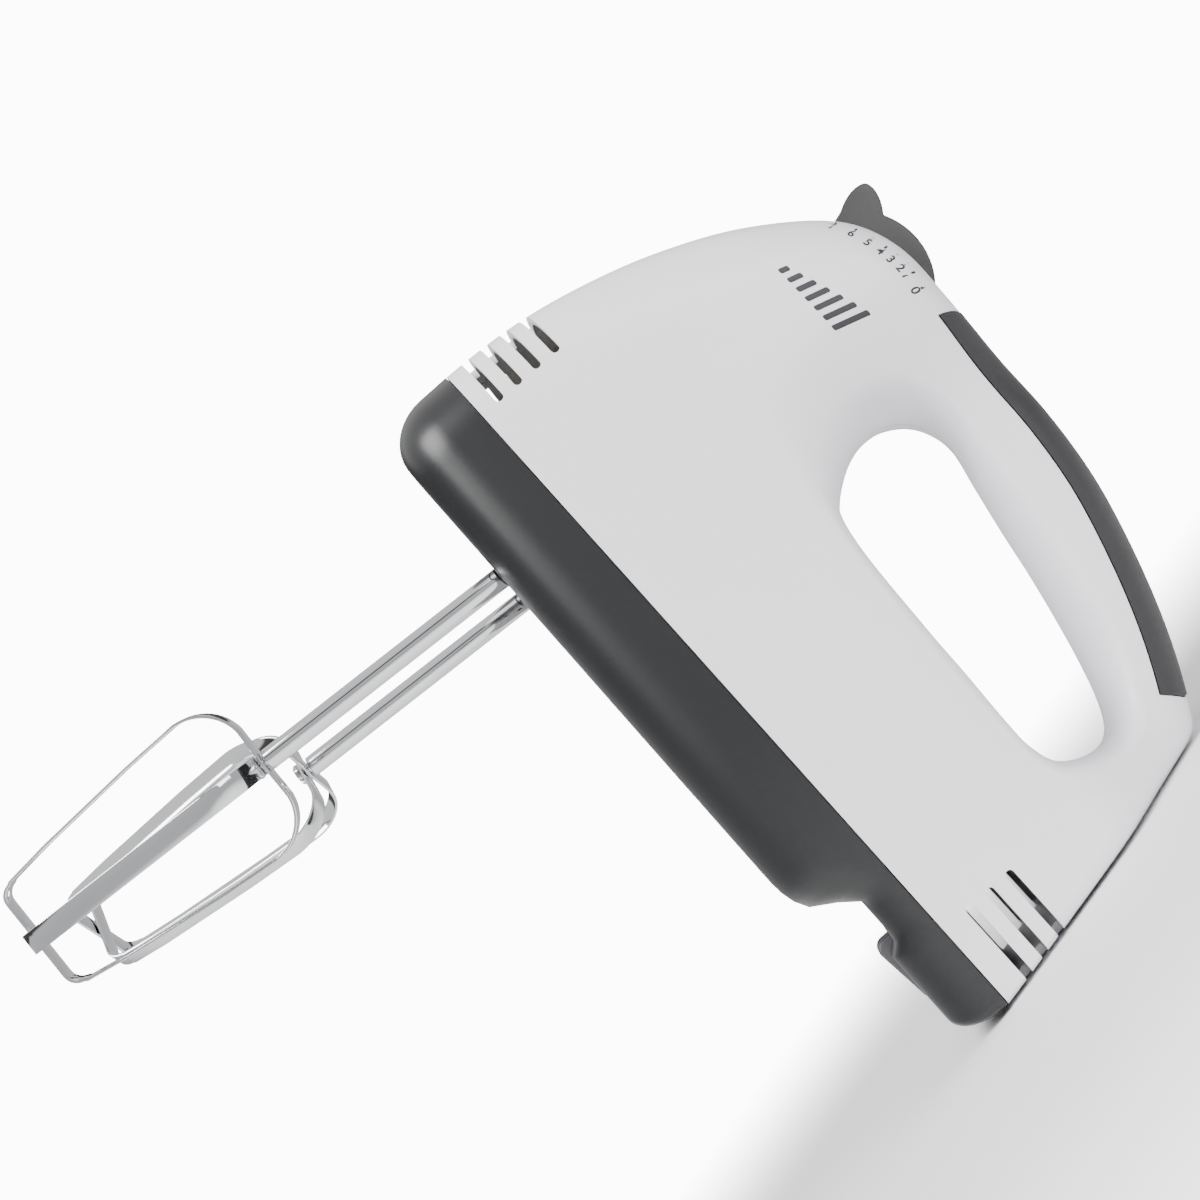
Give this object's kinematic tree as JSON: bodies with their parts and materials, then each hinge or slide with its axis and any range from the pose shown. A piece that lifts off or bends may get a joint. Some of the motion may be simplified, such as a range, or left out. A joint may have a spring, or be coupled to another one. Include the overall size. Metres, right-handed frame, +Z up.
{
  "type": "hand mixer",
  "caption": "Hand mixer with a looped handle, a speed slider on top and paired beaters of crossed strips, standing on its heel.",
  "frame": {"origin": "centre of the outline on the surface that the mixer stands on, its heel down", "axes": "+X to where the beaters point, +Y to the user's left, +Z up from the heel to the nose"},
  "size_m": [0.2646, 0.076, 0.1963],
  "materials": {
    "white_shell": "moulded, satin gloss",
    "dark_base": "moulded, satin gloss",
    "grip_strip": "moulded, fine texture",
    "slider_plastic": "moulded, satin",
    "gland_plastic": "moulded, matte",
    "chrome_plate": "polished",
    "plain_steel": "zinc plated",
    "lamination_steel": "stamped laminations",
    "copper_winding": "enamelled wire",
    "brass_part": "plain",
    "carbon_brush": "sintered carbon",
    "nylon_part": "moulded",
    "phenolic_part": "moulded"
  },
  "bodies": {
    "casing": {"housing_left": "white_shell", "housing_right": "white_shell", "base_cover": "dark_base", "handle_grip": "grip_strip", "cord_gland": "gland_plastic", "spindle_bridge": "plain_steel", "motor_bracket": "plain_steel", "ejector_spring": "plain_steel", "case_screw_1": "plain_steel", "case_screw_2": "plain_steel", "case_screw_3": "plain_steel", "case_screw_4": "plain_steel", "case_screw_5": "plain_steel", "base_screw_1": "plain_steel", "base_screw_2": "plain_steel", "base_screw_3": "plain_steel", "base_screw_4": "plain_steel", "motor_screw_left": "plain_steel", "motor_screw_right": "plain_steel", "stator_core": "lamination_steel", "field_coil_left": "copper_winding", "field_coil_right": "copper_winding", "front_bearing": "brass_part", "rear_bearing": "brass_part", "brush_holder_left": "brass_part", "brush_holder_right": "brass_part", "switch_contact": "brass_part", "brush_left": "carbon_brush", "brush_right": "carbon_brush", "gear_frame": "nylon_part", "speed_switch": "phenolic_part", "suppression_capacitor": "phenolic_part"},
    "ejector": {"ejector_plate": "nylon_part", "slider_pin": "plain_steel"},
    "slider": {"speed_slider": "slider_plastic"},
    "armature": {"armature_shaft": "plain_steel", "armature_core": "lamination_steel", "armature_winding_front": "copper_winding", "armature_winding_rear": "copper_winding", "commutator": "copper_winding", "cooling_fan": "nylon_part"},
    "left_spindle": {"spindle_left": "plain_steel", "worm_wheel_left": "nylon_part", "spindle_washer_left": "plain_steel"},
    "right_spindle": {"spindle_right": "plain_steel", "worm_wheel_right": "nylon_part", "spindle_washer_right": "plain_steel"},
    "left_beater": {"beater_shaft_left": "chrome_plate", "outer_blades_left": "chrome_plate", "inner_blades_left": "chrome_plate", "blade_rivet_left": "chrome_plate"},
    "right_beater": {"beater_shaft_right": "chrome_plate", "outer_blades_right": "chrome_plate", "inner_blades_right": "chrome_plate", "blade_rivet_right": "chrome_plate"}
  },
  "joints": [
    {"name": "eject_press", "type": "slide", "parent": "casing", "child": "ejector", "axis": [0.9664, 0, 0.257], "range_m": [0, 0.004], "stiffness_N_per_m": 300, "springref_m": -0.003, "deforming": ["ejector_spring"]},
    {"name": "speed_turn", "type": "hinge", "parent": "ejector", "child": "slider", "pos_m": [-0.10951, -0.00002, 0.12501], "axis": [0, -1, 0], "range_deg": [0, 63]},
    {"name": "motor_spin", "type": "hinge", "parent": "casing", "child": "armature", "pos_m": [-0.04682, -0.00002, 0.13579], "axis": [0.257, 0, -0.9664], "continuous": true},
    {"name": "left_spindle_spin", "type": "hinge", "parent": "casing", "child": "left_spindle", "pos_m": [-0.04682, 0.01898, 0.13579], "axis": [-0.9664, 0, -0.257], "continuous": true},
    {"name": "right_spindle_spin", "type": "hinge", "parent": "casing", "child": "right_spindle", "pos_m": [-0.04682, -0.01902, 0.13579], "axis": [-0.9664, 0, -0.257], "continuous": true},
    {"name": "left_beater_pull", "type": "slide", "parent": "left_spindle", "child": "left_beater", "axis": [0.9664, 0, 0.257], "range_m": [0, 0.045]},
    {"name": "right_beater_pull", "type": "slide", "parent": "right_spindle", "child": "right_beater", "axis": [0.9664, 0, 0.257], "range_m": [0, 0.045]}
  ],
  "couplings": [
    {"joint": "left_spindle_spin", "follows": "motor_spin", "ratio": 0.035714},
    {"joint": "right_spindle_spin", "follows": "motor_spin", "ratio": -0.035714}
  ]
}
